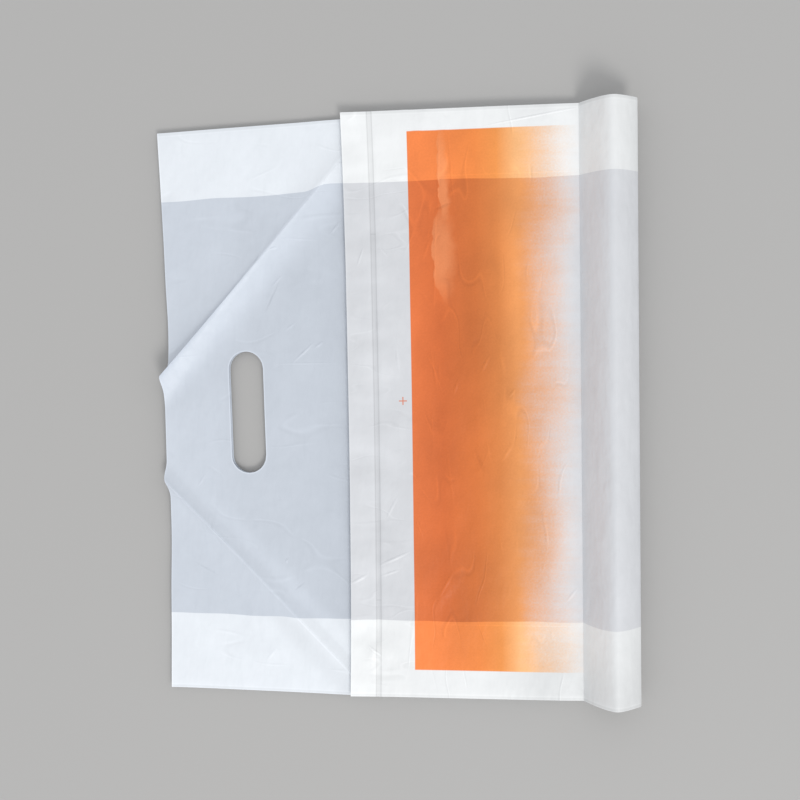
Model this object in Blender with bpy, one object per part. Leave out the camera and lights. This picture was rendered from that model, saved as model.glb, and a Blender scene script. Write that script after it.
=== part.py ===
"""A die-cut carrier mailer of thin film, lying flat and folded once across its length.

The bag is one gusseted tube of film. Its open mouth, with a stadium-shaped hand hole, lies on
the surface; its welded bottom is folded back on top, and the fold springs open into a loop.
Film and gaps are thickened to 0.3 mm so that the layers stay separate.

Units are metres. +X runs from the mouth to the fold, +Y across the bag, +Z up. The origin is
the middle of the footprint, on the surface that the bag lies on.
"""
from math import cos, pi, radians, sin

import bmesh
import bpy
from mathutils import Matrix, Vector
from mathutils.geometry import interpolate_bezier

# Film and layers
FILM = 0.0003
FILM_GAP = 0.0003
LAYERS = 4
PITCH = FILM + FILM_GAP
PLY = LAYERS * PITCH - FILM_GAP
PLY_GAP = 0.0004

# Bag, as it lies
HALF_WIDTH = 0.160
GUSSET_DEPTH_LEFT = 0.0381
GUSSET_DEPTH_RIGHT = 0.0428
LAID_LENGTH = 0.2615
MOUTH_HALF_WIDTH_LEFT = 0.1535
MOUTH_HALF_WIDTH_RIGHT = 0.1576
TAPER_START = 0.040
SKIRT_X = -0.0262

# Sprung fold, seen from the side
MOUTH_X = -LAID_LENGTH / 2
FOLD_X = LAID_LENGTH / 2
FOLD_HEIGHT = 0.0125
LIFT_X = 0.1185
CREST_X = 0.1174
CREST_HEIGHT = 0.0233
KINK_X = 0.1006
TOP_HEIGHT = 2 * PLY + PLY_GAP

# Handles (x, z) of the curves between those points, from the end that each belongs to
LIFT_HANDLE = Vector((0.006, 0.0))
FOLD_UNDER_HANDLE = Vector((-0.001, -0.0055))
FOLD_OVER_HANDLE = Vector((-0.0032, 0.003))
CREST_OUTER_HANDLE = Vector((0.0036, 0.0))
CREST_INNER_HANDLE = Vector((-0.0048, 0.0))
KINK_HANDLE = Vector((0.0033, 0.0060))

# Hand hole through the lower ply
HOLE_X = -0.0826
HOLE_Y = -0.0021
HOLE_LENGTH = 0.0674
HOLE_WIDTH = 0.0195
HOLE_TURN = radians(1.0)

# Weld across the bottom
WELD_X = -0.0104
WELD_WIDTH = 0.0036

FOLD_STEPS = 4
CURVE_STEPS = 9
HOLE_STEPS = 14
SHARP_ANGLE = radians(40)


def clear_scene():
    """Start from an empty scene."""
    for item in list(bpy.data.objects):
        bpy.data.objects.remove(item, do_unlink=True)


def plastic(name, colour, roughness):
    """A Principled material for film."""
    material = bpy.data.materials.new(name)
    material.use_nodes = True
    shader = material.node_tree.nodes["Principled BSDF"]
    shader.inputs["Base Color"].default_value = (*colour, 1.0)
    shader.inputs["Roughness"].default_value = roughness
    shader.inputs["Metallic"].default_value = 0.0
    return material


def add_object(name, mesh_data):
    """Turn a bmesh into an object in the scene."""
    mesh = bpy.data.meshes.new(name)
    mesh_data.to_mesh(mesh)
    mesh_data.free()
    mesh.shade_smooth()
    mesh.set_sharp_from_angle(angle=SHARP_ANGLE)
    item = bpy.data.objects.new(name, mesh)
    bpy.context.scene.collection.objects.link(item)
    return item


def mark_as_tool(item):
    """Keep a Boolean's second shape out of the model."""
    item.hide_render = True
    item.display_type = "WIRE"


def arc(across, depth, radius, start, sweep):
    """Points (across, depth) along a film fold's round."""
    angles = [start + sweep * step / FOLD_STEPS for step in range(FOLD_STEPS + 1)]
    return [(across + radius * cos(angle), depth + radius * sin(angle)) for angle in angles]


def half_outline(side, gusset_depth):
    """One half of a wall face in cross-section, from the outer panel up to the inner panel."""
    fold_radius = PITCH / 2
    outer = HALF_WIDTH - fold_radius - FILM / 2
    inner = HALF_WIDTH - gusset_depth + fold_radius + FILM / 2
    first, middle, last = (FILM / 2 + (layer + 0.5) * PITCH for layer in range(LAYERS - 1))
    return (
        arc(outer, first, fold_radius + side, -pi / 2, pi)
        + arc(inner, middle, fold_radius - side, -pi / 2, -pi)
        + arc(outer, last, fold_radius + side, -pi / 2, pi)
    )


def wall_outline(side):
    """One face of the film wall in cross-section, half a film to one side of its middle line.

    Depth counts inwards from the bag's outer face. The wall runs panel, gusset leaf, gusset
    leaf, panel on the left (+Y), and back the same way on the right.
    """
    left = half_outline(side, GUSSET_DEPTH_LEFT)
    right = [(-across, depth) for across, depth in reversed(half_outline(side, GUSSET_DEPTH_RIGHT))]
    return left + right


def bezier(start, start_handle, end_handle, end):
    """Points (x, z) along one curved stretch, with each handle given from its own end."""
    knots = (start, start + start_handle, end + end_handle, end)
    return [point.to_2d() for point in interpolate_bezier(*knots, CURVE_STEPS)]


def side_profile():
    """The bag's outer face seen from the side, from the mouth round the fold to the skirt."""
    lift = Vector((LIFT_X, 0.0))
    fold = Vector((FOLD_X, FOLD_HEIGHT))
    crest = Vector((CREST_X, CREST_HEIGHT))
    kink = Vector((KINK_X, TOP_HEIGHT))
    underside = bezier(lift, LIFT_HANDLE, FOLD_UNDER_HANDLE, fold)
    shoulder = bezier(fold, FOLD_OVER_HANDLE, CREST_OUTER_HANDLE, crest)
    slope = bezier(crest, CREST_INNER_HANDLE, KINK_HANDLE, kink)
    mouth = [Vector((MOUTH_X, 0.0)), Vector((TAPER_START, 0.0))]
    skirt = [Vector((SKIRT_X, TOP_HEIGHT))]
    return mouth + underside + shoulder[1:] + slope[1:] + skirt


def left_normals(points):
    """For each point, the mitred step into the loop for one unit of depth."""
    steps = [(end - start).normalized() for start, end in zip(points, points[1:])]
    normals = [Vector((-step.y, step.x)) for step in steps]
    befores = normals[:1] + normals
    afters = normals + normals[-1:]
    return [(a + b) / (1.0 + a.dot(b)) for a, b in zip(befores, afters)]


def width_scale(point, across):
    """How far the lower ply has narrowed at a station, on the side that across is on."""
    if point.y > 0.0:
        return 1.0
    mouth_half_width = MOUTH_HALF_WIDTH_LEFT if across > 0.0 else MOUTH_HALF_WIDTH_RIGHT
    share = max(0.0, (TAPER_START - point.x) / (TAPER_START - MOUTH_X))
    return 1.0 + share * (mouth_half_width / HALF_WIDTH - 1.0)


def ring(mesh_data, point, normal, outline):
    """Vertices of one wall face at one station of the side profile."""
    verts = []
    for across, depth in outline:
        place = point + depth * normal
        verts.append(mesh_data.verts.new((place.x, across * width_scale(point, across), place.y)))
    return verts


def band(mesh_data, start, end):
    """Close two equal rings with a band of four-sided faces."""
    count = len(start)
    for index in range(count):
        after = (index + 1) % count
        mesh_data.faces.new((start[index], start[after], end[after], end[index]))


def film_tube():
    """The gusseted tube of film, swept along the side profile and open at both ends."""
    mesh_data = bmesh.new()
    points = side_profile()
    stations = list(zip(points, left_normals(points)))
    outer = [ring(mesh_data, *station, wall_outline(FILM / 2)) for station in stations]
    inner = [ring(mesh_data, *station, wall_outline(-FILM / 2)) for station in stations]
    for start, end in zip(outer, outer[1:]):
        band(mesh_data, start, end)
    for start, end in zip(inner, inner[1:]):
        band(mesh_data, end, start)
    band(mesh_data, inner[0], outer[0])
    band(mesh_data, outer[-1], inner[-1])
    return add_object("bag", mesh_data)


def hand_hole():
    """A stadium-shaped block that runs past both faces of the lower ply."""
    mesh_data = bmesh.new()
    radius = HOLE_WIDTH / 2
    straight = HOLE_LENGTH / 2 - radius
    outline = []
    for end, start in ((straight, 0.0), (-straight, pi)):
        for step in range(HOLE_STEPS + 1):
            angle = start + pi * step / HOLE_STEPS
            outline.append(mesh_data.verts.new((radius * cos(angle), end + radius * sin(angle), 0.0)))
    base = mesh_data.faces.new(outline)
    top = bmesh.ops.extrude_face_region(mesh_data, geom=[base])
    lifted = [vert for vert in top["geom"] if isinstance(vert, bmesh.types.BMVert)]
    bmesh.ops.translate(mesh_data, verts=lifted, vec=(0.0, 0.0, 4 * PLY))
    bmesh.ops.recalc_face_normals(mesh_data, faces=mesh_data.faces)
    cutter = add_object("hand_hole_tool", mesh_data)
    cutter.location = (HOLE_X, HOLE_Y, -PLY)
    cutter.rotation_euler.z = HOLE_TURN
    mark_as_tool(cutter)
    return cutter


def bottom_weld():
    """The bar of melted film that joins every layer across the bag's bottom."""
    mesh_data = bmesh.new()
    size = (WELD_WIDTH, 2 * HALF_WIDTH - FILM, PLY - FILM)
    matrix = Matrix.Translation((WELD_X, 0.0, TOP_HEIGHT - PLY / 2)) @ Matrix.Diagonal((*size, 1.0))
    bmesh.ops.create_cube(mesh_data, size=1.0, matrix=matrix)
    bar = add_object("weld_tool", mesh_data)
    mark_as_tool(bar)
    return bar


def combine(item, other, operation):
    """Add or cut another shape with a Boolean modifier."""
    modifier = item.modifiers.new(other.name, "BOOLEAN")
    modifier.operation = operation
    modifier.solver = "EXACT"
    modifier.object = other


def main():
    clear_scene()
    bag = film_tube()
    bag.data.materials.append(plastic("white_film", (0.84, 0.86, 0.88), 0.38))
    combine(bag, bottom_weld(), "UNION")
    combine(bag, hand_hole(), "DIFFERENCE")


main()
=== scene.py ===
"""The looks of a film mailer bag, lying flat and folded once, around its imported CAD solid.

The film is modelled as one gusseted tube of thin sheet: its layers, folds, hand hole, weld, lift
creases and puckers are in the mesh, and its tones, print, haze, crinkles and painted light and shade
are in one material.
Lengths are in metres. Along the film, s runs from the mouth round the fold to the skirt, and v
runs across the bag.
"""
import math

import bpy
import numpy as np
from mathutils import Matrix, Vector


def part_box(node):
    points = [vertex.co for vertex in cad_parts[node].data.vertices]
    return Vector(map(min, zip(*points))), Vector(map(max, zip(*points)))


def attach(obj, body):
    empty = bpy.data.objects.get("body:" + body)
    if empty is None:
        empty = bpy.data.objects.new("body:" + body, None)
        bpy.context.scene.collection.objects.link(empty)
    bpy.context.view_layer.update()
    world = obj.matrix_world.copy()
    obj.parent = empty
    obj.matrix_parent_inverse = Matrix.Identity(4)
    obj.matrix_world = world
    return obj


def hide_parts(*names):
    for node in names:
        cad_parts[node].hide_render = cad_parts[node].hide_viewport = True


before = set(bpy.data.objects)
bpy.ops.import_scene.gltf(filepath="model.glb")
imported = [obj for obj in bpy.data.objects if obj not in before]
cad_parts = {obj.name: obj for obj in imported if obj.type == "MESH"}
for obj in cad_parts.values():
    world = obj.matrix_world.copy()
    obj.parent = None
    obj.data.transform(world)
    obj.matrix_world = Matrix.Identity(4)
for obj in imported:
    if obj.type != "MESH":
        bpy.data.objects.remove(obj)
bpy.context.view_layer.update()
bag_low, bag_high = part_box("bag")

# Sizes that the frame gives
MOUTH_X = bag_low.x
FOLD_X = bag_high.x
HALF_WIDTH = bag_high.y
CREST_HEIGHT = bag_high.z

# Film and layers
FILM = 0.00012
PITCH = 0.0006
FIRST_DEPTH = 0.00015
PLY = 0.0021
TOP_HEIGHT = 0.0046
GUSSET_LEFT = 0.1219
GUSSET_RIGHT = 0.1172

# Sprung fold, seen from the side
LIFT_X = 0.1185
FOLD_HEIGHT = 0.0125
CREST_X = 0.1174
KINK_X = 0.1006
SKIRT_X = -0.0251
CREASE_HALF = 0.0004

# Handles (x, z) of the curves between those points, from the end that each belongs to
LIFT_HANDLE = (0.006, 0.0)
FOLD_UNDER_HANDLE = (-0.001, -0.0055)
FOLD_OVER_HANDLE = (-0.0032, 0.003)
CREST_OUTER_HANDLE = (0.0036, 0.0)
CREST_INNER_HANDLE = (-0.0048, 0.0)
KINK_HANDLE = (0.0033, 0.0060)

# Hand hole
HOLE_X = -0.0826
HOLE_Y = -0.0021
HOLE_LENGTH = 0.0674
HOLE_WIDTH = 0.0195
HOLE_TURN = math.radians(1.0)
UNDER_HOLE_SLIP = 0.0004

# Weld and print on the upper ply
WELD_X = -0.0098
WELD_HALF = 0.0013
WELD_SQUEEZE = 0.3
WELD_CAP_HIGH = 0.094
WELD_CAP_LOW = -0.106
PRINT_X = 0.0097
PRINT_FADE_X = 0.094
PRINT_LOW_Y = -0.1445
PRINT_HIGH_Y = 0.1485
MARK_X = 0.0048
MARK_Y = 0.0034

LAYER_PANEL, LAYER_LEAF_A, LAYER_LEAF_B, LAYER_FACE = range(4)


def smooth(low, high, value):
    """0 below low, 1 above high, and an even S between them."""
    t = np.clip((value - low) / (high - low), 0.0, 1.0)
    return t * t * (3.0 - 2.0 * t)


def bell(value, width):
    """1 at zero, falling away on both sides."""
    return np.exp(-(value / width) ** 2)


# ---------------------------------------------------------------- side profile

def bezier(start, start_handle, end_handle, end, steps=30):
    """Points along one curve, with each handle given from its own end."""
    t = np.linspace(0.0, 1.0, steps + 1)[:, None]
    a, d = np.array(start), np.array(end)
    b, c = a + start_handle, d + end_handle
    return a * (1 - t) ** 3 + 3 * b * t * (1 - t) ** 2 + 3 * c * t * t * (1 - t) + d * t ** 3


def side_profile():
    """The outer face seen from the side, as (x, z) points from the mouth to the skirt."""
    lift = (LIFT_X, 0.0)
    fold = (FOLD_X, FOLD_HEIGHT)
    crest = (CREST_X, CREST_HEIGHT)
    kink = (KINK_X, TOP_HEIGHT)
    under = bezier(lift, LIFT_HANDLE, FOLD_UNDER_HANDLE, fold)
    shoulder = bezier(fold, FOLD_OVER_HANDLE, CREST_OUTER_HANDLE, crest)
    slope = bezier(crest, CREST_INNER_HANDLE, KINK_HANDLE, kink)
    mouth = np.array([(MOUTH_X, 0.0), (LIFT_X - 0.001, 0.0)])
    top = np.array([(KINK_X - CREASE_HALF, TOP_HEIGHT), (SKIRT_X, TOP_HEIGHT)])
    return np.vstack((mouth, under, shoulder[1:], slope[1:], top))


def inward_steps(points):
    """For each profile point, the mitred step into the fold for one unit of depth."""
    steps = np.diff(points, axis=0)
    steps /= np.linalg.norm(steps, axis=1)[:, None]
    normals = np.stack((-steps[:, 1], steps[:, 0]), axis=1)
    before = np.vstack((normals[:1], normals))
    after = np.vstack((normals, normals[-1:]))
    return (before + after) / (1.0 + (before * after).sum(1))[:, None]


PROFILE = side_profile()
INWARD = inward_steps(PROFILE)
ALONG = np.concatenate(([0.0], np.cumsum(np.linalg.norm(np.diff(PROFILE, axis=0), axis=1))))
LENGTH = ALONG[-1]
LIFT_S = LIFT_X - MOUTH_X
KINK_S = LENGTH - (KINK_X - SKIRT_X)
WELD_S = KINK_S + KINK_X - WELD_X
COVER_S = SKIRT_X - MOUTH_X
CREST_S = ALONG[np.argmax(PROFILE[:, 1])]
FOLD_S = ALONG[np.argmax(PROFILE[:, 0])]

# ---------------------------------------------------------------- relief

# Lift creases on the lower ply: where each meets the mouth, its slope across over along, its
# height there, how far it reaches on the free corner's side and on the other, the corner's
# side (+1 or -1), and the turn in radians of that corner about a pivot (x, y)
CREASES = (
    {"y": 0.0208, "slope": 1.109, "height": 0.0085, "steep": 0.0090, "gentle": 0.0150, "side": 1,
     "turn": 0.036, "pivot": (0.059, 0.171)},
    {"y": -0.0405, "slope": -1.035, "height": 0.0034, "steep": 0.0055, "gentle": 0.0080, "side": -1,
     "turn": 0.0244, "pivot": (-0.030, -0.194)},
)

# Folds pressed into the upper ply: x, y, direction in degrees, half length, half width, height
BLISTER = (
    (0.0305, 0.083, 91, 0.030, 0.0088, 0.0011),
    (0.0298, 0.121, 93, 0.036, 0.0042, 0.0010),
)
UPPER_FOLDS = BLISTER + (
    (0.0630, 0.078, 96, 0.046, 0.0070, 0.0006),
    (0.0440, 0.052, 94, 0.020, 0.0050, 0.0005),
    (0.0770, 0.1537, 9, 0.028, 0.0026, 0.0006),
    (-0.0125, -0.135, 48, 0.008, 0.0028, 0.0010),
    (0.0260, -0.101, 57, 0.013, 0.0034, 0.0008),
    (-0.0015, -0.083, 24, 0.012, 0.0032, 0.0007),
    (-0.0205, -0.094, 32, 0.008, 0.0028, 0.0007),
    (0.0120, 0.153, 118, 0.012, 0.0030, 0.0006),
    (0.0180, 0.154, 66, 0.010, 0.0028, 0.0006),
    (0.0940, -0.150, 120, 0.012, 0.0030, 0.0005),
)
LOWER_FOLDS = (
    (-0.0500, 0.0305, 42, 0.011, 0.0026, 0.0006),
    (-0.0670, 0.062, 62, 0.014, 0.0034, 0.0006),
    (-0.0310, 0.098, 50, 0.008, 0.0028, 0.0005),
    (-0.1040, -0.0645, 88, 0.008, 0.0028, 0.0005),
    (-0.0550, -0.099, 38, 0.008, 0.0028, 0.0005),
    (-0.0850, -0.119, 84, 0.009, 0.0030, 0.0005),
    (-0.0770, -0.120, 95, 0.008, 0.0030, 0.0005),
    (-0.0730, -0.139, 48, 0.010, 0.0032, 0.0005),
)


def crease_at(crease, s):
    """Where a lift crease crosses the film at s."""
    return crease["y"] + crease["slope"] * s


HILL_CELLS = 64
HILL_START = 30.0


def hills(x, y, size_x, size_y, seed):
    """Smooth random heights from 0 to 1, with hills about size_x by size_y apart."""
    cells = np.random.default_rng(seed).random((HILL_CELLS, HILL_CELLS))
    column, row = x / size_x + HILL_START, y / size_y + HILL_START
    left, low = np.floor(column).astype(int), np.floor(row).astype(int)
    share_x, share_y = smooth(0.0, 1.0, column - left), smooth(0.0, 1.0, row - low)
    bottom = cells[left, low] * (1 - share_x) + cells[left + 1, low] * share_x
    top = cells[left, low + 1] * (1 - share_x) + cells[left + 1, low + 1] * share_x
    return bottom * (1 - share_y) + top * share_y


def pressed_folds(x, y, folds):
    """Height of short folds, each a ridge that runs out to a point at both ends."""
    total = np.zeros_like(x)
    for centre_x, centre_y, direction, half_length, half_width, height in folds:
        angle = math.radians(direction)
        along = ((x - centre_x) * math.cos(angle) + (y - centre_y) * math.sin(angle)) / half_length
        across = ((y - centre_y) * math.cos(angle) - (x - centre_x) * math.sin(angle)) / half_width
        total += height * np.clip(1.0 - along ** 2 - across ** 2, 0.0, 1.0) ** 0.8
    return total


def crease_relief(s, v):
    """Height of the lift creases on the lower ply, and the film's slip in the plane."""
    height = np.zeros_like(s)
    slip_x = np.zeros_like(s)
    slip_y = np.zeros_like(s)
    fade = 1.0 - smooth(COVER_S - 0.024, COVER_S + 0.012, s)
    share = np.clip(1.0 - s / (COVER_S + 0.020), 0.0, 1.0)
    for crease in CREASES:
        tilt = math.hypot(1.0, crease["slope"])
        off = (v - crease_at(crease, s)) / tilt * crease["side"]
        rounded = np.sqrt(off ** 2 + 0.0005 ** 2)
        free_side = np.exp(-(rounded / (crease["steep"] * (1.9 - 0.9 * share))) ** 1.25)
        other_side = np.clip(1.0 - rounded / crease["gentle"], 0.0, 1.0) ** 1.9
        rise = crease["height"] * (0.18 + 0.82 * share ** 2.2)
        height += rise * fade * np.where(off > 0.0, free_side, other_side)
        free = smooth(-0.004, 0.008, off) * (1.0 - smooth(LIFT_S - 0.06, LIFT_S, s))
        pivot_x, pivot_y = crease["pivot"]
        x = s + MOUTH_X
        slip_x += free * crease["turn"] * (pivot_y - v) * crease["side"]
        slip_y -= free * crease["turn"] * np.maximum(pivot_x - x, 0.0) * crease["side"]
    return height, slip_x, slip_y


MIDDLE_HOLLOW = 0.0008
MIDDLE_DRAW = 0.0018
MOUTH_LIP = 0.0013
LOWER_ROLL = 0.0009
LOWER_RIPPLE = 0.0004


def lower_relief(s, v):
    """Height of the lower ply over the surface it lies on, and its slip in the plane."""
    creases, slip_x, slip_y = crease_relief(s, v)
    first, second = CREASES
    between = smooth(0.0, 0.012, crease_at(first, s) - v) * smooth(0.0, 0.012, v - crease_at(second, s))
    hollow = MIDDLE_HOLLOW * between * np.exp(-s / 0.045)
    slip_x = slip_x + MIDDLE_DRAW * between * np.exp(-s / 0.020)
    lip = MOUTH_LIP * np.exp(-s / 0.010) * hills(s, v, 0.05, 0.026, 3)
    roll = LOWER_ROLL * hills(s + 0.4 * v, v, 0.045, 0.060, 5)
    roll = roll + LOWER_RIPPLE * hills(s - 0.5 * v, v, 0.016, 0.026, 8)
    seen = 1.0 - smooth(COVER_S - 0.005, COVER_S + 0.02, s)
    folds = pressed_folds(s + MOUTH_X, v, LOWER_FOLDS)
    return creases + (hollow + lip + roll + folds) * seen, slip_x, slip_y


UPPER_ROLL = 0.0008
UPPER_RIPPLE = 0.0005
WELD_PUCKER = 0.0009
SKIRT_WAVE = 0.0006


def upper_relief(s, v):
    """Height of the whole upper ply over a flat lie."""
    x = KINK_X - (s - KINK_S)
    under, _, _ = crease_relief(x - MOUTH_X, v)
    on_top = smooth(KINK_S, KINK_S + 0.012, s)
    roll = UPPER_ROLL * hills(x + 0.3 * v, v, 0.050, 0.070, 11)
    roll = roll + UPPER_RIPPLE * hills(x, v - 0.3 * x, 0.022, 0.030, 12)
    near_weld = np.exp(-np.abs(s - WELD_S) / 0.020)
    pucker = WELD_PUCKER * near_weld * hills(x, v - 0.5 * x, 0.026, 0.012, 14)
    skirt = SKIRT_WAVE * smooth(WELD_S + 0.003, LENGTH, s) * hills(x, v, 0.05, 0.020, 17)
    folds = pressed_folds(x, v, UPPER_FOLDS)
    return under * 1.05 + on_top * (roll + pucker + skirt + folds)


LOOSE_FACE = 0.0006
SKIRT_BOW = 0.0018
LOOP_WAVE = 0.0005


def loose_face(s, v):
    """How far the top film stands off the films below it, on either ply."""
    inside = smooth(HALF_WIDTH, HALF_WIDTH - 0.006, np.abs(v))
    return LOOSE_FACE * inside * hills(s - 0.4 * v, v, 0.030, 0.042, 21)


def bow(v):
    """How far the skirt's ends run out past its middle."""
    return -SKIRT_BOW * np.abs(v / HALF_WIDTH) ** 3


def lay(s, v, depth, face, panel):
    """Put points of the film in space. face and panel are 1 on the inner and outer panels."""
    x = np.interp(s, ALONG, PROFILE[:, 0])
    z = np.interp(s, ALONG, PROFILE[:, 1])
    step_x = np.interp(s, ALONG, INWARD[:, 0])
    step_z = np.interp(s, ALONG, INWARD[:, 1])
    lower = 1.0 - smooth(LIFT_S - 0.02, LIFT_S, s)
    upper = smooth(KINK_S - 0.001, KINK_S + 0.004, s)
    weld = bell(s - WELD_S, WELD_HALF * 1.4)
    squeeze = 1.0 - WELD_SQUEEZE * weld
    deep = PLY / 2 + (depth - PLY / 2) * squeeze
    low_rise, slip_x, slip_y = lower_relief(s, v)
    rise = lower * (low_rise + face * loose_face(s, v))
    rise = rise + upper * (upper_relief(s, v) + panel * loose_face(LENGTH - s, v) * (1.0 - weld))
    ends = smooth(KINK_S + 0.060, LENGTH, s)
    place_x = x + deep * step_x + lower * slip_x + ends * bow(v)
    place_y = v + lower * slip_y
    place_z = z + deep * step_z + rise
    loop = (1.0 - lower) * (1.0 - upper)
    place_z = place_z + loop * LOOP_WAVE * (hills(s, v, 0.02, 0.045, 23) - 0.5)
    return np.stack((place_x, place_y, place_z), axis=-1)


# ---------------------------------------------------------------- film mesh

def spans(*parts):
    """Values from spans of (start, end, spacing), with each shared end once."""
    values = [parts[0][0]]
    for start, end, spacing in parts:
        count = max(1, round((end - start) / spacing))
        values.extend(start + (end - start) * (step + 1) / count for step in range(count))
    return np.array(values)


SEEN_SPACING = 0.0023
HIDDEN_SPACING = 0.0085
LOOP_SPACING = 0.0015
UPPER_SPACING = 0.0022
WELD_SPACING = 0.0008
SKIRT_SPACING = 0.0020
WELD_MARGIN = 0.004


def film_stations():
    """The values of s that have a ring of points, closest where the film bends most."""
    hidden_from, loop_from = COVER_S + 0.006, LIFT_S - 0.004
    before_kink, after_kink = KINK_S - CREASE_HALF, KINK_S + CREASE_HALF
    before_weld, after_weld = WELD_S - WELD_MARGIN, WELD_S + WELD_MARGIN
    return spans(
        (0.0, hidden_from, SEEN_SPACING),
        (hidden_from, loop_from, HIDDEN_SPACING),
        (loop_from, before_kink, LOOP_SPACING),
        (before_kink, KINK_S, CREASE_HALF),
        (KINK_S, after_kink, CREASE_HALF),
        (after_kink, before_weld, UPPER_SPACING),
        (before_weld, after_weld, WELD_SPACING),
        (after_weld, LENGTH, SKIRT_SPACING),
    )


PANEL_COLUMNS = 108
LEAF_COLUMNS = 8
ROUND_STEPS = 5
OUTER_PARTS = (32, 44, 32)


def round_fold(centre, depth, start, sweep):
    """Points (v, depth) round one fold of the film."""
    angles = start + sweep * np.arange(1, ROUND_STEPS) / ROUND_STEPS
    radius = PITCH / 2
    return centre + radius * np.cos(angles), depth + radius * np.sin(angles)


def crowded_face(s):
    """Columns of the inner panel at s, from +v to -v, crowded along the lift creases."""
    reach = HALF_WIDTH - PITCH / 2 - FILM / 2
    first, second = (crease_at(crease, min(s, COVER_S)) for crease in CREASES)
    even = np.linspace(reach, -reach, PANEL_COLUMNS + 1)
    above, middle, below = (np.arange(count + 1) / count for count in OUTER_PARTS)
    top = first + (reach - first) * (1.0 - above) ** 1.6
    both = 0.55 * (0.5 - 0.5 * np.cos(math.pi * middle)) + 0.45 * middle
    centre = first + (second - first) * both
    bottom = second + (-reach - second) * below ** 1.6
    crowded = np.concatenate((top, centre[1:], bottom[1:]))
    share = smooth(COVER_S, COVER_S + 0.110, s)
    return crowded * (1.0 - share) + even * share


def film_ring(s):
    """One ring of points (v, depth, layer) round the tube at s."""
    reach = HALF_WIDTH - PITCH / 2 - FILM / 2
    left_in = GUSSET_LEFT + PITCH / 2 + FILM / 2
    right_in = GUSSET_RIGHT + PITCH / 2 + FILM / 2
    layer_depth = [FIRST_DEPTH + PITCH * layer for layer in range(LAYER_FACE + 1)]
    gaps = [(a + b) / 2 for a, b in zip(layer_depth, layer_depth[1:])]
    half = math.pi / 2
    v, depth, layer = [], [], []

    def run(values, at, which):
        v.extend(values)
        depth.extend(np.full(len(values), at) if np.isscalar(at) else at)
        layer.extend([which] * len(values))

    run(np.linspace(-reach, reach, PANEL_COLUMNS + 1), layer_depth[0], LAYER_PANEL)
    run(*round_fold(reach, gaps[0], -half, math.pi), LAYER_LEAF_A)
    run(np.linspace(reach, left_in, LEAF_COLUMNS + 1), layer_depth[1], LAYER_LEAF_A)
    run(*round_fold(left_in, gaps[1], -half, -math.pi), LAYER_LEAF_B)
    run(np.linspace(left_in, reach, LEAF_COLUMNS + 1), layer_depth[2], LAYER_LEAF_B)
    run(*round_fold(reach, gaps[2], -half, math.pi), LAYER_LEAF_B)
    run(crowded_face(s), layer_depth[3], LAYER_FACE)
    run(*round_fold(-reach, gaps[2], half, math.pi), LAYER_LEAF_B)
    run(np.linspace(-reach, -right_in, LEAF_COLUMNS + 1), layer_depth[2], LAYER_LEAF_B)
    run(*round_fold(-right_in, gaps[1], half, -math.pi), LAYER_LEAF_A)
    run(np.linspace(-right_in, -reach, LEAF_COLUMNS + 1), layer_depth[1], LAYER_LEAF_A)
    run(*round_fold(-reach, gaps[0], half, math.pi), LAYER_LEAF_A)
    return np.array(v), np.array(depth), np.array(layer)


def hole_outline(s, v, slip):
    """For points round the hand hole, the nearest points on its edge."""
    centre_s = HOLE_X - MOUTH_X + slip
    turn = np.array(((math.cos(HOLE_TURN), math.sin(HOLE_TURN)), (-math.sin(HOLE_TURN), math.cos(HOLE_TURN))))
    local = np.stack((s - centre_s, v - HOLE_Y), axis=1) @ turn.T
    radius = HOLE_WIDTH / 2
    straight = HOLE_LENGTH / 2 - radius
    spine = np.stack((np.zeros(len(local)), np.clip(local[:, 1], -straight, straight)), axis=1)
    away = local - spine
    edge = spine + radius * away / np.linalg.norm(away, axis=1)[:, None]
    back = edge @ turn
    return back[:, 0] + centre_s, back[:, 1] + HOLE_Y


HOLE_RINGS = (0.55, 0.28, 0.12, 0.0)
HOLE_MARGIN = 0.006


def cut_hole(grid_s, grid_v, columns, faces, points, facts, slip):
    """Replace the cells over the hand hole by rings of cells that end on its edge."""
    half_s = HOLE_WIDTH / 2 + HOLE_MARGIN
    half_v = HOLE_LENGTH / 2 + HOLE_MARGIN
    centre_s = HOLE_X - MOUTH_X
    rows = np.flatnonzero(np.abs(grid_s[:, 0] - centre_s) < half_s)
    row_low, row_high = rows[0] - 1, rows[-1] + 1
    near = np.abs(grid_v[row_low:row_high + 1][:, columns] - HOLE_Y) < half_v
    picked = np.flatnonzero(near.any(0))
    low, high = columns[picked[0] - 1], columns[picked[-1] + 1]
    ring = grid_s.shape[1]
    loop = [(row, low) for row in range(row_low, row_high)]
    loop += [(row_high, column) for column in range(low, high)]
    loop += [(row, high) for row in range(row_high, row_low, -1)]
    loop += [(row_low, column) for column in range(high, low, -1)]
    rows_at, columns_at = (np.array(part) for part in zip(*loop))
    rim_s, rim_v = grid_s[rows_at, columns_at], grid_v[rows_at, columns_at]
    edge_s, edge_v = hole_outline(rim_s, rim_v, slip)
    previous = list(rows_at * ring + columns_at)
    depth, layer = facts[low]
    for share in HOLE_RINGS:
        start = len(points)
        for a, b, c, d in zip(rim_s, rim_v, edge_s, edge_v):
            points.append((c + (a - c) * share, d + (b - d) * share, depth, layer))
        current = list(range(start, len(points)))
        count = len(current)
        for index in range(count):
            after = (index + 1) % count
            faces.append((previous[index], current[index], current[after], previous[after]))
        previous = current
    return {(row, column) for row in range(row_low, row_high) for column in range(low, high)}


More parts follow.
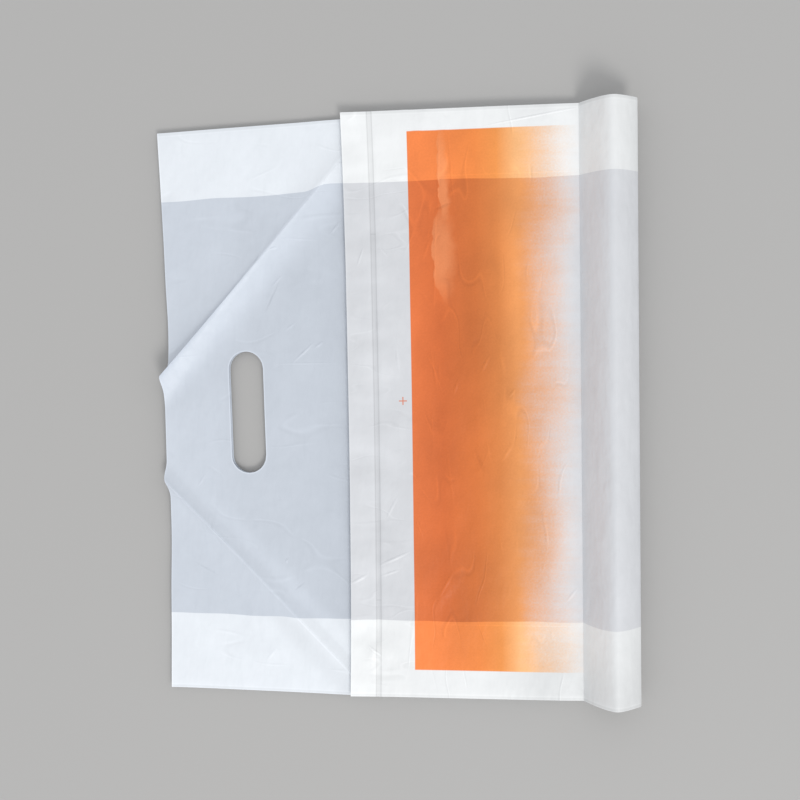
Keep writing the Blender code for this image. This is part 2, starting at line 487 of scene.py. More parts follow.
def film_mesh():
    """The film as a sheet one face thick: a tube with open ends and a hole through two panels."""
    stations = film_stations()
    rings = [film_ring(s) for s in stations]
    count = len(rings[0][0])
    grid_s = np.repeat(stations[:, None], count, axis=1)
    grid_v = np.array([ring[0] for ring in rings])
    depth, layer = rings[0][1], rings[0][2]
    facts = list(zip(depth, layer))
    points = [
        (s, v, d, l)
        for s, row in zip(stations, grid_v)
        for v, d, l in zip(row, depth, layer)
    ]
    faces = []
    gone = set()
    for which, slip in ((LAYER_PANEL, UNDER_HOLE_SLIP), (LAYER_FACE, 0.0)):
        gone |= cut_hole(grid_s, grid_v, np.flatnonzero(layer == which), faces, points, facts, slip)
    for row in range(len(stations) - 1):
        for column in range(count):
            if (row, column) in gone:
                continue
            after = (column + 1) % count
            a, b = row * count, (row + 1) * count
            faces.append((a + column, a + after, b + after, b + column))
    return np.array(points), faces


SHARP_ANGLE = math.radians(42)


def build_film():
    """The bag's film as one closed thin shell."""
    facts, faces = film_mesh()
    s, v, depth, layer = facts.T
    place = lay(s, v, depth, (layer == LAYER_FACE) * 1.0, (layer == LAYER_PANEL) * 1.0)
    used, index = np.unique(np.array(faces), return_inverse=True)
    index = index.reshape(-1, 4)
    mesh = bpy.data.meshes.new("film_bag")
    mesh.from_pydata(place[used].tolist(), [], index.tolist())
    film = mesh.attributes.new("film", "FLOAT_VECTOR", "POINT")
    film.data.foreach_set("vector", np.stack((s, v, layer), axis=1)[used].astype(np.float32).ravel())
    bag = bpy.data.objects.new("film_bag", mesh)
    bpy.context.scene.collection.objects.link(bag)
    shell = bag.modifiers.new("film", "SOLIDIFY")
    shell.thickness = FILM
    shell.offset = 0.0
    bpy.context.view_layer.objects.active = bag
    bag.select_set(True)
    bpy.ops.object.modifier_apply(modifier=shell.name)
    mesh.shade_smooth()
    mesh.set_sharp_from_angle(angle=SHARP_ANGLE)
    return bag


# ---------------------------------------------------------------- material

def srgb(red, green, blue):
    """A screen colour, 0 to 255, as the linear colour that nodes take."""
    linear = []
    for part in (red, green, blue):
        part /= 255.0
        linear.append(part / 12.92 if part <= 0.04045 else ((part + 0.055) / 1.055) ** 2.4)
    return (*linear, 1.0)


LOWER_THIN = srgb(206, 213, 223)
LOWER_THIN_DARK = srgb(197, 204, 214)
LOWER_THICK = srgb(231, 236, 242)
UPPER_THIN = srgb(218, 220, 224)
UPPER_THIN_DARK = srgb(209, 211, 215)
UPPER_THICK = srgb(240, 242, 243)
INK_THIN = (
    (0.00, srgb(223, 116, 62)),
    (0.20, srgb(211, 107, 52)),
    (0.42, srgb(210, 114, 54)),
    (0.56, srgb(214, 128, 66)),
    (0.68, srgb(230, 151, 88)),
    (1.00, srgb(236, 166, 108)),
)
INK_THICK = (
    (0.00, srgb(247, 136, 72)),
    (0.20, srgb(245, 136, 70)),
    (0.42, srgb(243, 140, 68)),
    (0.56, srgb(240, 151, 77)),
    (0.68, srgb(247, 184, 124)),
    (1.00, srgb(244, 188, 132)),
)
BLISTER_INK = srgb(250, 168, 116)
MARK_INK = srgb(222, 118, 72)
BLISTER_PALE = 0.40
MARK_COVER = 0.85

# Fine creases: x, y, direction in degrees, half length, half width, strength. Each is a bump with a lighter
# line painted along it as its highlight, or painted shade where the strength is negative
PRINT_CREASES = (
    (0.0222, 0.0200, -82, 0.0130, 0.0011, 1.0),
    (0.0240, 0.0150, -74, 0.0070, 0.0010, 0.8),
    (0.0205, 0.0240, -66, 0.0055, 0.0011, 0.8),
    (0.0208, -0.0100, -88, 0.0100, 0.0009, 0.6),
    (0.0500, 0.0230, 62, 0.0055, 0.0012, 1.0),
    (0.0590, 0.0240, -80, 0.0080, 0.0018, 0.8),
    (0.0340, 0.0110, 72, 0.0045, 0.0011, 0.9),
    (0.0640, 0.0070, 50, 0.0030, 0.0010, 0.8),
    (0.0510, -0.0240, -82, 0.0070, 0.0012, 0.8),
    (0.0460, -0.0290, -68, 0.0080, 0.0012, -0.7),
    (0.0610, -0.0250, 58, 0.0060, 0.0014, 0.8),
    (0.0300, -0.0370, -84, 0.0180, 0.0012, 0.6),
    (0.0130, -0.0660, -70, 0.0050, 0.0010, 1.0),
    (0.0270, -0.0970, 60, 0.0090, 0.0012, 0.8),
    (0.0570, -0.0740, -80, 0.0060, 0.0011, 0.5),
    (0.0235, 0.0780, 88, 0.0330, 0.0010, 0.9),
    (0.0262, 0.1260, 88, 0.0240, 0.0010, 1.0),
    (0.0330, 0.1280, 94, 0.0240, 0.0010, 0.8),
    (0.0280, 0.1080, 20, 0.0060, 0.0013, -0.8),
    (0.0190, 0.0850, 70, 0.0080, 0.0012, 0.7),
)
MARGIN_CREASES = (
    (0.0770, 0.1537, 9, 0.0300, 0.0008, 0.9),
    (-0.0168, 0.0820, 70, 0.0060, 0.0009, 0.9),
    (-0.0045, 0.0845, -50, 0.0045, 0.0009, 0.7),
    (0.0025, 0.0270, -85, 0.0090, 0.0012, 0.6),
    (-0.0020, -0.0550, 62, 0.0080, 0.0010, 0.6),
    (-0.0010, -0.0830, 25, 0.0100, 0.0011, 1.0),
    (-0.0205, -0.0945, 30, 0.0060, 0.0012, 1.0),
    (-0.0035, -0.0910, 20, 0.0060, 0.0010, 0.8),
    (-0.0118, -0.1345, -40, 0.0055, 0.0011, 1.4),
    (0.0950, -0.1020, 52, 0.0050, 0.0010, 0.8),
)
LOWER_CREASES = (
    (-0.0500, 0.0305, 42, 0.0090, 0.0009, 0.9),
    (-0.0415, 0.0345, 36, 0.0035, 0.0010, 0.8),
    (-0.0570, 0.0450, 36, 0.0040, 0.0009, 0.5),
    (-0.0500, 0.0245, 0, 0.0200, 0.0007, 0.4),
    (-0.0310, 0.0980, 50, 0.0050, 0.0010, 0.9),
    (-0.0670, 0.0620, 63, 0.0110, 0.0009, -0.6),
    (-0.0640, 0.0700, 45, 0.0050, 0.0009, 0.6),
    (-0.0657, 0.0880, 8, 0.0030, 0.0009, 0.6),
    (-0.0500, 0.0925, -4, 0.0140, 0.0008, 0.35),
    (-0.1040, -0.0645, 88, 0.0055, 0.0007, -0.35),
    (-0.1100, -0.0400, 56, 0.0045, 0.0009, 0.5),
    (-0.0550, -0.0990, 38, 0.0045, 0.0008, -0.45),
    (-0.0620, -0.0850, 75, 0.0015, 0.0008, 0.9),
    (-0.1110, -0.0910, -27, 0.0090, 0.0008, -0.4),
    (-0.0730, -0.1390, 52, 0.0050, 0.0012, 0.5),
)


class Wiring:
    """Adds nodes to one material, so that a formula reads as calls."""

    def __init__(self, material):
        self.tree = material.node_tree

    def feed(self, socket, value):
        if isinstance(value, bpy.types.NodeSocket):
            self.tree.links.new(value, socket)
        else:
            socket.default_value = value

    def add(self, kind, **settings):
        node = self.tree.nodes.new(kind)
        for name, value in settings.items():
            setattr(node, name, value)
        return node

    def math(self, operation, *values):
        node = self.add("ShaderNodeMath", operation=operation)
        for socket, value in zip(node.inputs, values):
            self.feed(socket, value)
        return node.outputs[0]

    def times(self, *values):
        total = values[0]
        for value in values[1:]:
            total = self.math("MULTIPLY", total, value)
        return total

    def plus(self, *values):
        total = values[0]
        for value in values[1:]:
            total = self.math("ADD", total, value)
        return total

    def rise(self, value, low, high):
        """0 below low, 1 above high, with an even S between them."""
        node = self.add("ShaderNodeMapRange", interpolation_type="SMOOTHSTEP")
        self.feed(node.inputs["Value"], value)
        node.inputs["From Min"].default_value = low
        node.inputs["From Max"].default_value = high
        return node.outputs["Result"]

    def inverse(self, value):
        return self.math("SUBTRACT", 1.0, value)

    def window(self, value, low, high, soft):
        """1 between low and high, with soft edges."""
        after = self.rise(value, low - soft, low + soft)
        before = self.inverse(self.rise(value, high - soft, high + soft))
        return self.times(after, before)

    def line(self, value, at, half):
        """1 on a line at one value, falling away to 0 at half its width."""
        away = self.math("ABSOLUTE", self.math("SUBTRACT", value, at))
        return self.inverse(self.rise(away, 0.0, half))

    def mix(self, share, first, second):
        node = self.add("ShaderNodeMix", data_type="RGBA")
        self.feed(node.inputs[0], share)
        self.feed(node.inputs[6], first)
        self.feed(node.inputs[7], second)
        return node.outputs[2]

    def noise(self, place, size, stretch=(1.0, 1.0), detail=2.0, warp=0.0, turn=0.0):
        """Smooth noise over the film, with features of about one size, longer where stretched."""
        mapped = self.add("ShaderNodeMapping", vector_type="POINT")
        self.feed(mapped.inputs["Vector"], place)
        mapped.inputs["Rotation"].default_value = (0.0, 0.0, turn)
        mapped.inputs["Scale"].default_value = (1.0 / stretch[0], 1.0 / stretch[1], 1.0)
        node = self.add("ShaderNodeTexNoise")
        self.feed(node.inputs["Vector"], mapped.outputs["Vector"])
        node.inputs["Scale"].default_value = 1.0 / size
        node.inputs["Detail"].default_value = detail
        node.inputs["Distortion"].default_value = warp
        return node.outputs["Fac"]

    def ramp(self, value, stops):
        """A colour along a value from 0 to 1, from (position, colour) stops."""
        node = self.add("ShaderNodeValToRGB")
        self.feed(node.inputs["Fac"], value)
        band = node.color_ramp
        while len(band.elements) < len(stops):
            band.elements.new(0.5)
        for element, (position, colour) in zip(band.elements, stops):
            element.position = position
            element.color = colour
        return node.outputs["Color"]

    def spot(self, place, centre, angle, half_length, half_width):
        """1 at a point of the film, falling evenly to 0 on an ellipse round it."""
        local = self.add("ShaderNodeMapping", vector_type="TEXTURE")
        self.feed(local.inputs["Vector"], place)
        local.inputs["Location"].default_value = (*centre, 0.0)
        local.inputs["Rotation"].default_value = (0.0, 0.0, angle)
        local.inputs["Scale"].default_value = (half_length, half_width, 1.0)
        node = self.add("ShaderNodeTexGradient", gradient_type="SPHERICAL")
        self.feed(node.inputs["Vector"], local.outputs["Vector"])
        return node.outputs["Fac"]

    def strokes(self, place, rows, ply):
        """The sum of fine creases, each given by its place on one ply."""
        total = 0.0
        for x, y, direction, half_length, half_width, strength in rows:
            centre, angle = on_film(x, y, math.radians(direction), ply)
            mark = self.spot(place, centre, angle, half_length, half_width)
            total = self.math("MULTIPLY_ADD", mark, strength, total)
        return total

    def brighten(self, colour, factor):
        node = self.add("ShaderNodeVectorMath", operation="SCALE")
        self.feed(node.inputs[0], colour)
        self.feed(node.inputs["Scale"], factor)
        return node.outputs[0]


def upper_s(x):
    """s of a place on the upper ply."""
    return KINK_S + KINK_X - x


def on_film(x, y, angle, ply):
    """A place and direction on one ply as (s, v) and a direction there."""
    if ply == "upper":
        return (upper_s(x), y), math.pi - angle
    return (x - MOUTH_X, y), angle


def gusset_share(w, s, v, wander):
    """1 where the gusset leaves lie inside the film."""
    across = w.plus(v, wander)
    left = w.rise(across, GUSSET_LEFT - 0.0002, GUSSET_LEFT + 0.0002)
    right = w.inverse(w.rise(across, -GUSSET_RIGHT - 0.0002, -GUSSET_RIGHT + 0.0002))
    return w.plus(left, right)


def film_tones(w, s, leaf, place):
    """The milky tones of the film, by how many layers lie over each other."""
    drift = w.noise(place, 0.050, stretch=(1.0, 1.6), detail=3.0)
    lower = w.mix(leaf, w.mix(drift, LOWER_THIN_DARK, LOWER_THIN), LOWER_THICK)
    upper = w.mix(leaf, w.mix(drift, UPPER_THIN_DARK, UPPER_THIN), UPPER_THICK)
    return w.mix(w.rise(s, LIFT_S - 0.03, LIFT_S), lower, upper)


def off_crease(w, s, v, crease):
    """Distance from a lift crease, growing towards higher v."""
    line = w.math("MULTIPLY_ADD", s, crease["slope"], crease["y"])
    return w.times(w.math("SUBTRACT", v, line), 1.0 / math.hypot(1.0, crease["slope"]))


# How much paler (+) or duller (-) each feature is than the film round it, as a share of its tone: painted
# light and shade, except the cloud, fine and weld values, which are the film's own tone
LIFTED_LIGHT = 0.110
LIFTED_FAR_LOSS = 0.30
SHADED_SIDE_LIGHT = -0.012
SHADED_SIDE_LEAF_LIGHT = -0.045
LIP_LIGHT = 0.055
HOLLOW_SHADE_LIGHT = -0.055
CREST_LINE_LIGHT = 0.095
TROUGH_LIGHT = -0.030
TROUGH_LEAF_LIGHT = -0.020
BEHIND_LIGHT = -0.060
BEYOND_LIGHT = 0.02
BY_SKIRT_LIGHT = -0.015
LOOP_LEAF_LIGHT = -0.080
LOOP_LOW_END_LIGHT = -0.090
BESIDE_KINK_LIGHT = 0.05
CLOUD_LIGHT = 0.10
FINE_LIGHT = 0.05
BAND_LIGHT = 0.24
PRINT_WRINKLE_LIGHT = 0.085
WELD_WRINKLE_LIGHT = 0.045
LOWER_WRINKLE_LIGHT = 0.038
WELD_BORDER_LIGHT = -0.15
WELD_CAP_LIGHT = -0.10
WELD_STRIP_LIGHT = -0.085
HOLE_RIM_LIGHT = 0.16
STROKE_LIGHT = 0.11


def lift_light(w, s, v, leaf):
    """Painted light and shade on the lower ply: lit and shaded sides, highlight lines and troughs of the lift
    creases, and a painted shadow by the skirt.
    """
    thin = w.inverse(w.times(leaf, 0.6))
    first = off_crease(w, s, v, CREASES[0])
    second = off_crease(w, s, v, CREASES[1])
    above = w.rise(first, -0.0008, 0.0008)
    far = w.inverse(w.times(w.rise(s, 0.030, 0.090), LIFTED_FAR_LOSS))
    # painted light on the lit side of the first lift crease, weaker further from the mouth
    pale = w.times(w.rise(first, -0.0185, -0.0060), w.inverse(above), thin, far, LIFTED_LIGHT)
    # painted shade on the shaded side of the first lift crease
    shade_depth = w.plus(SHADED_SIDE_LIGHT, w.times(leaf, SHADED_SIDE_LEAF_LIGHT))
    dull = w.times(w.inverse(w.rise(first, 0.0010, 0.0180)), above, shade_depth)
    # painted shade in the hollow between the two lift creases
    between = w.times(w.inverse(w.rise(first, -0.024, -0.014)), w.rise(second, 0.010, 0.020))
    shade_between = w.times(between, w.rise(s, 0.020, 0.055), HOLLOW_SHADE_LIGHT)
    # painted highlight on the second lift crease's crest, and painted shade in the trough beside it
    crest = w.times(w.line(second, 0.0, 0.0014), CREST_LINE_LIGHT)
    trough_depth = w.plus(TROUGH_LIGHT, w.times(leaf, TROUGH_LEAF_LIGHT))
    trough = w.times(w.window(second, 0.0016, 0.0068, 0.0012), trough_depth)
    # painted shade over the gussets behind the second crease, and painted light just beyond its trough
    behind = w.times(w.window(second, -0.0130, -0.0030, 0.0040), leaf, BEHIND_LIGHT)
    beyond = w.times(w.window(second, 0.0095, 0.0140, 0.0030), BEYOND_LIGHT)
    # painted highlight line beside the first crease's crest
    lip = w.times(w.line(first, 0.0012, 0.0020), LIP_LIGHT)
    on_lower = w.inverse(w.rise(s, COVER_S, COVER_S + 0.004))
    # painted shadow of the skirt on the lower ply
    skirt_shadow = w.times(w.rise(s, COVER_S - 0.020, COVER_S), w.inverse(leaf), BY_SKIRT_LIGHT)
    total = w.plus(pale, dull, lip, shade_between, crest, trough, behind, beyond, skirt_shadow)
    return w.times(total, on_lower)


def upper_light(w, s, v, leaf, bare):
    """Painted shade on the upper ply's unprinted film: duller past the weld and near the loop, and duller
    still towards the loop's low end.
    """
    low_end = w.inverse(w.rise(v, -0.150, -0.090))
    past_weld = w.inverse(w.rise(s, WELD_S - 0.006, WELD_S + 0.002))
    near_loop = w.inverse(w.rise(s, upper_s(0.090), upper_s(0.045)))
    on_upper = w.rise(s, KINK_S - 0.0002, KINK_S + 0.0002)
    # painted shade over the gussets past the weld and near the loop, and a little over the middle past the
    # weld
    edge = w.plus(w.times(past_weld, w.plus(0.015, w.times(low_end, 0.035))),
                  w.times(near_loop, w.plus(0.025, w.times(low_end, 0.110))))
    middle = w.times(past_weld, w.inverse(near_loop), w.inverse(leaf), 0.022)
    return w.times(w.plus(w.times(edge, leaf), middle), bare, on_upper, -1.0)


def grey(value):
    """A ramp colour that stands for one number."""
    return (value, value, value, 1.0)


def loop_light(w, s, v, leaf):
    """Painted shade on the loop, darkest at the fold and over its gussets, and painted light beside the kink.
    """
    share = w.math("DIVIDE", w.math("SUBTRACT", s, FOLD_S), KINK_S - FOLD_S)
    crest = (CREST_S - FOLD_S) / (KINK_S - FOLD_S)
    # painted shade along the loop, darkest at the fold
    ramp = w.ramp(share, (
        (0.0, grey(0.455)),
        (crest * 0.55, grey(0.490)),
        (crest * 1.05, grey(0.490)),
        (0.60, grey(0.500)),
    ))
    on_loop = w.window(s, FOLD_S - 0.02, KINK_S, 0.0004)
    # painted shade over the loop's gussets, deeper towards the low end
    low_end = w.inverse(w.rise(v, -0.165, -0.110))
    over_gusset = w.plus(LOOP_LEAF_LIGHT, w.times(low_end, LOOP_LOW_END_LIGHT))
    # painted light on the upper ply just beside the kink
    near_kink = w.window(s, KINK_S + 0.001, KINK_S + 0.014, 0.0060)
    beside_kink = w.times(near_kink, w.rise(s, KINK_S, KINK_S + 0.0004))
    return w.plus(
        w.times(w.math("SUBTRACT", ramp, 0.5), on_loop, 2.0),
        w.times(leaf, over_gusset, on_loop),
        w.times(beside_kink, BESIDE_KINK_LIGHT),
    )


def mottling_and_pucker_shade(w, s, v, place):
    """Soft random unevenness of the film's tone, and painted light and shade in bands across the skirt and
    weld where the film puckers.
    """
    cloud = w.math("SUBTRACT", w.noise(place, 0.020, stretch=(1.0, 1.4), detail=3.0), 0.5)
    fine = w.math("SUBTRACT", w.noise(place, 0.005, detail=3.0), 0.5)
    # painted light and shade of the puckers, in bands across the skirt and weld
    bands = w.math("SUBTRACT", w.noise(place, 0.013, stretch=(2.6, 1.0), detail=1.0, turn=0.25), 0.5)
    near_weld = w.window(s, WELD_S - 0.012, LENGTH, 0.008)
    return w.plus(w.times(cloud, CLOUD_LIGHT), w.times(fine, FINE_LIGHT),
                  w.times(bands, near_weld, BAND_LIGHT))


def wrinkles(w, place, size, width, **settings):
    """Thin wandering creases, each with a lit and a shaded side, from -1 to 1."""
    value = w.noise(place, size, **settings)
    lit = w.line(value, 0.5, width)
    shaded = w.line(value, 0.5 + 1.7 * width, 1.3 * width)
    return w.plus(lit, w.times(shaded, -0.8))


def wrinkle_light(w, s, v, place):
    """Painted light and shade of wrinkles over the print, round the weld and skirt, and a few on the lower
    ply.
    """
    patches = w.rise(w.noise(place, 0.026, detail=2.0), 0.46, 0.62)
    on_print = w.window(s, KINK_S + 0.008, upper_s(PRINT_X) + 0.004, 0.004)
    by_weld = w.window(s, upper_s(PRINT_X), LENGTH - 0.001, 0.003)
    on_lower = w.inverse(w.rise(s, COVER_S - 0.004, COVER_S))
    upright = wrinkles(w, place, 0.022, 0.016, stretch=(0.75, 2.3), detail=1.0, turn=0.12)
    level = wrinkles(w, place, 0.015, 0.018, stretch=(2.4, 0.8), detail=1.0, turn=0.35)
    slanted = wrinkles(w, place, 0.036, 0.011, stretch=(2.2, 0.8), detail=1.0, turn=-0.75)
    return w.plus(
        w.times(upright, on_print, patches, PRINT_WRINKLE_LIGHT),
        w.times(level, by_weld, patches, WELD_WRINKLE_LIGHT),
        w.times(slanted, on_lower, patches, LOWER_WRINKLE_LIGHT),
    )


def print_cover(w, s, v, place, share):
    """How much ink there is: full at its crisp end, then grainy and thin towards the fold."""
    start = upper_s(PRINT_X)
    edge = w.inverse(w.rise(s, start - 0.0002, start + 0.0002))
    sides = w.window(v, PRINT_LOW_Y, PRINT_HIGH_Y, 0.0003)
    swirl = w.math("SUBTRACT", w.noise(place, 0.030, stretch=(1.0, 1.5), detail=2.0), 0.5)
    streak = w.math("SUBTRACT", w.noise(place, 0.0035, stretch=(8.0, 1.0), detail=2.0), 0.5)
    grain = w.math("SUBTRACT", w.noise(place, 0.0010, detail=3.0), 0.5)
    bent = w.plus(share, w.times(swirl, 0.24), w.times(streak, 0.10))
    fade = w.inverse(w.rise(bent, 0.65, 1.13))
    speck = w.times(grain, fade, w.inverse(fade), 2.6)
    on_print = w.rise(s, KINK_S - 0.001, KINK_S)
    full = w.math("MINIMUM", w.math("MAXIMUM", w.plus(fade, speck), 0.0), 1.0)
    return w.times(full, edge, sides, on_print)


def blister_share(w, place):
    """Where the printed film stands off the film under it: crisp on one side, soft on the other."""
    swirl = w.add("ShaderNodeTexNoise")
    w.feed(swirl.inputs["Vector"], place)
    swirl.inputs["Scale"].default_value = 1.0 / 0.008
    bent = w.add("ShaderNodeVectorMath", operation="MULTIPLY_ADD")
    w.feed(bent.inputs[0], swirl.outputs["Color"])
    bent.inputs[1].default_value = (0.0050, 0.0030, 0.0)
    w.feed(bent.inputs[2], place)
    total = 0.0
    for x, y, direction, half_length, half_width, _ in BLISTER:
        (s, v), angle = on_film(x, y, math.radians(direction), "upper")
        shifted = (s + 0.0025, v + 0.0015)
        near = w.spot(bent.outputs[0], shifted, angle, half_length, half_width)
        soft = w.spot(bent.outputs[0], (shifted[0] + half_width * 0.45, shifted[1]), angle,
                      half_length * 1.1, half_width * 1.15)
        share = w.times(w.rise(near, 0.0, 0.10), w.rise(soft, 0.0, 0.75))
        total = w.math("MAXIMUM", total, share)
    return total


def ink_colour(w, share, leaf, place):
    """Orange, redder at its crisp end, brighter over the gussets and on the blister."""
    colour = w.mix(leaf, w.ramp(share, INK_THIN), w.ramp(share, INK_THICK))
    patch_centre, patch_angle = on_film(0.063, 0.078, math.radians(96), "upper")
    patch = w.rise(w.spot(place, patch_centre, patch_angle, 0.050, 0.009), 0.0, 0.8)
    # broad lighter and darker swaths painted over the ink, as the shade of the film's waves
    swath = w.math("SUBTRACT", w.noise(place, 0.034, stretch=(1.0, 1.5), detail=3.0, turn=0.6), 0.5)
    shimmer = w.math("SUBTRACT", w.noise(place, 0.0011, detail=2.0), 0.5)
    light = w.plus(1.0, w.times(patch, 0.10), w.times(swath, 0.50), w.times(shimmer, 0.16))
    return w.brighten(w.mix(w.times(blister_share(w, place), BLISTER_PALE), colour, BLISTER_INK), light)


def register_mark(w, s, v):
    """A small cross printed beside the weld."""
    across = w.math("ABSOLUTE", w.math("SUBTRACT", s, upper_s(MARK_X)))
    up = w.math("ABSOLUTE", w.math("SUBTRACT", v, MARK_Y))
    bar = w.times(w.inverse(w.rise(across, 0.0002, 0.0004)), w.inverse(w.rise(up, 0.0021, 0.0023)))
    post = w.times(w.inverse(w.rise(up, 0.0002, 0.0004)), w.inverse(w.rise(across, 0.0021, 0.0023)))
    return w.math("MAXIMUM", bar, post)


def weld_marks(w, s, v):
    """How much duller the welded strip, its two borders and its end marks are."""
    strip = w.window(s, WELD_S - WELD_HALF, WELD_S + WELD_HALF, 0.0002)
    borders = w.plus(w.line(s, WELD_S - WELD_HALF, 0.00055), w.line(s, WELD_S + WELD_HALF, 0.00055))
    caps = w.times(w.plus(w.line(v, WELD_CAP_HIGH, 0.0006), w.line(v, WELD_CAP_LOW, 0.0006)), strip)
    return w.plus(w.times(borders, WELD_BORDER_LIGHT), w.times(caps, WELD_CAP_LIGHT),
                  w.times(strip, WELD_STRIP_LIGHT))


def hole_rim_highlight(w, s, v):
    """1 on a thin painted highlight round the hand hole's edge."""
    along = w.math("SUBTRACT", s, HOLE_X - MOUTH_X)
    across = w.math("SUBTRACT", v, HOLE_Y)
    cosine, sine = math.cos(HOLE_TURN), math.sin(HOLE_TURN)
    turned_along = w.plus(w.times(along, cosine), w.times(across, sine))
    turned_across = w.plus(w.times(across, cosine), w.times(along, -sine))
    radius = HOLE_WIDTH / 2
    straight = HOLE_LENGTH / 2 - radius
    past = w.math("MAXIMUM", w.math("SUBTRACT", w.math("ABSOLUTE", turned_across), straight), 0.0)
    away = w.math("SQRT", w.plus(w.times(turned_along, turned_along), w.times(past, past)))
    on_lower = w.inverse(w.rise(s, COVER_S - 0.01, COVER_S))
    return w.times(w.inverse(w.rise(away, radius + 0.0003, radius + 0.0009)), on_lower)


def edge_light(w, s, v):
    """Painted highlights along the cut edges at the mouth and skirt, and a duller strip along the two long
    folds.
    """
    # painted highlights on the cut edges of the mouth and skirt
    mouth = w.times(w.inverse(w.rise(s, 0.0003, 0.0009)), 0.09)
    skirt = w.times(w.rise(s, LENGTH - 0.0009, LENGTH - 0.0003), 0.06)
    across = w.math("ABSOLUTE", v)
    strip = w.times(w.window(across, HALF_WIDTH - 0.0016, HALF_WIDTH - 0.0005, 0.0002), -0.05)
    seam = w.times(w.line(across, HALF_WIDTH - 0.0021, 0.0005), 0.03)
    lines = w.plus(w.line(v, GUSSET_LEFT + 0.0023, 0.0005), w.line(v, -GUSSET_RIGHT - 0.0020, 0.0005))
    on_print = w.window(s, upper_s(0.094), upper_s(0.026), 0.010)
    return w.plus(mouth, skirt, strip, seam, w.times(lines, on_print, 0.07))


STROKE_HEIGHT = 0.00035
WRINKLE_HEIGHT = 0.0008
DENT_HEIGHT = 0.00110
STREAK_HEIGHT = 0.00040
SKIN_HEIGHT = 0.000012


def crumple(w, place):
    """Height in metres of the film's dents, streaks and skin."""
    dents = w.noise(place, 0.016, stretch=(1.0, 1.5), detail=3.0, turn=0.5)
    streaks = w.noise(place, 0.009, stretch=(0.6, 2.2), detail=2.0, warp=0.3, turn=-0.4)
    skin = w.noise(place, 0.0012, detail=2.0)
    return w.plus(w.times(dents, DENT_HEIGHT), w.times(streaks, STREAK_HEIGHT), w.times(skin, SKIN_HEIGHT))


def film_material():
    """White film with its layer tones, print, weld, cut edges and creases, with painted light and shade over
    its creases, loop, wrinkles and edges.
    """
    material = bpy.data.materials.new("film")
    material.use_nodes = True
    w = Wiring(material)
    shader = material.node_tree.nodes["Principled BSDF"]
    source = w.add("ShaderNodeAttribute", attribute_name="film")
    parts = w.add("ShaderNodeSeparateXYZ")
    w.feed(parts.inputs[0], source.outputs["Vector"])
    s, v, layer = parts.outputs
    flat = w.add("ShaderNodeCombineXYZ")
    w.feed(flat.inputs["X"], s)
    w.feed(flat.inputs["Y"], v)
    place = flat.outputs[0]

    wander = w.times(w.math("SUBTRACT", w.noise(place, 0.040, detail=1.0), 0.5), 0.0022)
    leaf = gusset_share(w, s, v, wander)
    share = w.math("DIVIDE", w.math("SUBTRACT", upper_s(PRINT_X), s), PRINT_FADE_X - PRINT_X)
    panel = w.inverse(w.rise(layer, 0.4, 0.6))
    cover = w.times(print_cover(w, s, v, place, share), panel)
    strokes = w.plus(
        w.strokes(place, PRINT_CREASES, "upper"),
        w.strokes(place, MARGIN_CREASES, "upper"),
        w.strokes(place, LOWER_CREASES, "lower"),
    )
    tone = w.mix(cover, film_tones(w, s, leaf, place), ink_colour(w, share, leaf, place))
    tone = w.mix(w.times(register_mark(w, s, v), panel, MARK_COVER), tone, MARK_INK)
    # painted light and shade of the wrinkles; the same wrinkles also go into the bump below
    creased = wrinkle_light(w, s, v, place)
    # light scales the tone: painted light and shade of the lift creases, loop, upper ply, puckers, wrinkles,
    # hole rim, cut edges and fine creases, along with the film's own random clouds and weld marks
    light = w.plus(
        1.0,
        lift_light(w, s, v, leaf),
        loop_light(w, s, v, leaf),
        mottling_and_pucker_shade(w, s, v, place),
        upper_light(w, s, v, leaf, w.inverse(cover)),
        creased,
        weld_marks(w, s, v),
        w.times(hole_rim_highlight(w, s, v), HOLE_RIM_LIGHT),
        edge_light(w, s, v),
        # painted highlight lines along the fine creases, painted shade where their strength is negative
        w.times(strokes, STROKE_LIGHT),
    )
    w.feed(shader.inputs["Base Color"], w.brighten(tone, light))

    haze = w.noise(place, 0.012, stretch=(1.0, 1.5), detail=4.0)
    w.feed(shader.inputs["Roughness"], w.plus(0.32, w.times(haze, 0.20)))
    shader.inputs["Specular IOR Level"].default_value = 0.35
    relief = w.plus(crumple(w, place), w.times(strokes, STROKE_HEIGHT), w.times(creased, WRINKLE_HEIGHT))
    bump = w.add("ShaderNodeBump")
    bump.inputs["Strength"].default_value = 1.0
    bump.inputs["Distance"].default_value = 1.0
    w.feed(bump.inputs["Height"], relief)
    w.feed(shader.inputs["Normal"], bump.outputs["Normal"])
    return material


# ---------------------------------------------------------------- stage

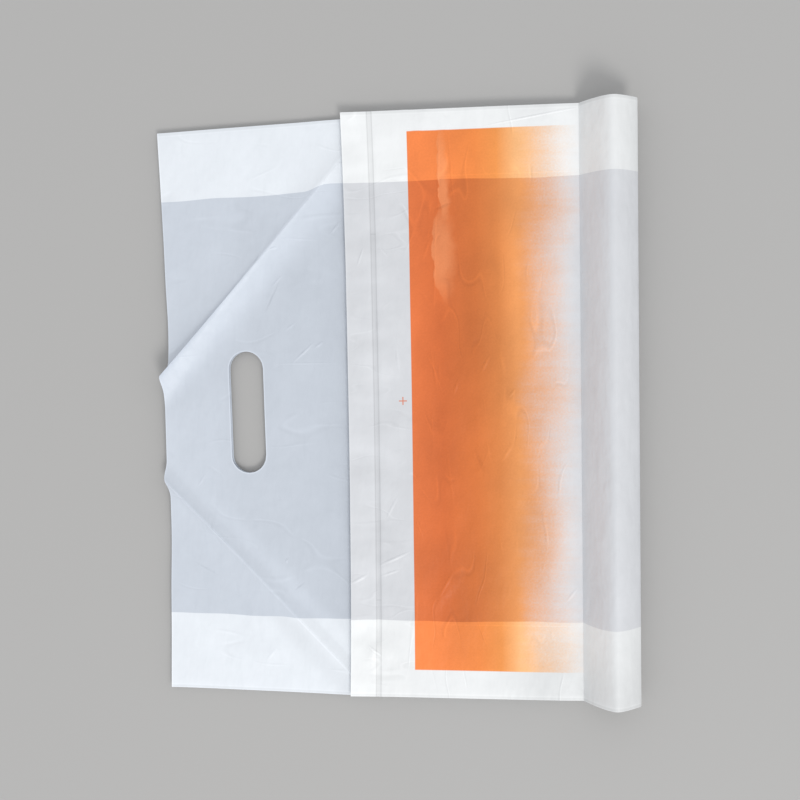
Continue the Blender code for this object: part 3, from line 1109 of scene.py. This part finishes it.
FLOOR_SIZE = 40.0
FLOOR_DROP = 0.0002
FLOOR_COLOUR = (0.44, 0.436, 0.43, 1.0)
STUDIO_COLOUR = (0.975, 0.985, 1.0, 1.0)
STUDIO_STRENGTH = 0.82
KEY_PLACE = (1.30, -2.60, 2.90)
KEY_SIZE = 1.5
KEY_POWER = 62.0
KEY_COLOUR = (1.0, 0.98, 0.95)
CAMERA_PLACE = (0.0804, 0.03267, 0.62526)
CAMERA_DEGREES = (-2.747, 7.052, -0.934)
CAMERA_LENS = 51.75


def build_stage():
    """A plain pale floor just under the bag."""
    bpy.ops.mesh.primitive_plane_add(size=FLOOR_SIZE, location=(0.0, 0.0, -FLOOR_DROP))
    floor = bpy.context.object
    floor.name = "floor"
    material = bpy.data.materials.new("floor")
    material.use_nodes = True
    shader = material.node_tree.nodes["Principled BSDF"]
    shader.inputs["Base Color"].default_value = FLOOR_COLOUR
    shader.inputs["Roughness"].default_value = 0.7
    floor.data.materials.append(material)


def area_light(name, place, target, size, power, colour):
    """A soft round lamp at one place, turned to face another."""
    data = bpy.data.lights.new(name, "AREA")
    data.shape = "DISK"
    data.size = size
    data.energy = power
    data.color = colour
    light = bpy.data.objects.new(name, data)
    bpy.context.scene.collection.objects.link(light)
    light.location = place
    direction = np.array(target) - np.array(place)
    light.rotation_mode = "QUATERNION"
    light.rotation_quaternion = Vector(direction).to_track_quat("-Z", "Y")


def build_light():
    """Even studio light from all round, with one soft lamp from the front right."""
    world = bpy.data.worlds.new("studio")
    world.use_nodes = True
    background = world.node_tree.nodes["Background"]
    background.inputs["Color"].default_value = STUDIO_COLOUR
    background.inputs["Strength"].default_value = STUDIO_STRENGTH
    bpy.context.scene.world = world
    area_light("key", KEY_PLACE, (0.0, 0.0, 0.0), KEY_SIZE, KEY_POWER, KEY_COLOUR)


def build_camera():
    """A camera nearly straight above the bag."""
    data = bpy.data.cameras.new("camera")
    data.lens = CAMERA_LENS
    data.sensor_width = 36.0
    camera = bpy.data.objects.new("camera", data)
    bpy.context.scene.collection.objects.link(camera)
    camera.location = CAMERA_PLACE
    camera.rotation_euler = [math.radians(angle) for angle in CAMERA_DEGREES]
    data.clip_start = 0.01
    bpy.context.scene.camera = camera
    bpy.context.scene.view_settings.view_transform = "Standard"


bag = build_film()
bag.data.materials.append(film_material())
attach(bag, "root")
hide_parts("bag")
build_stage()
build_light()
build_camera()
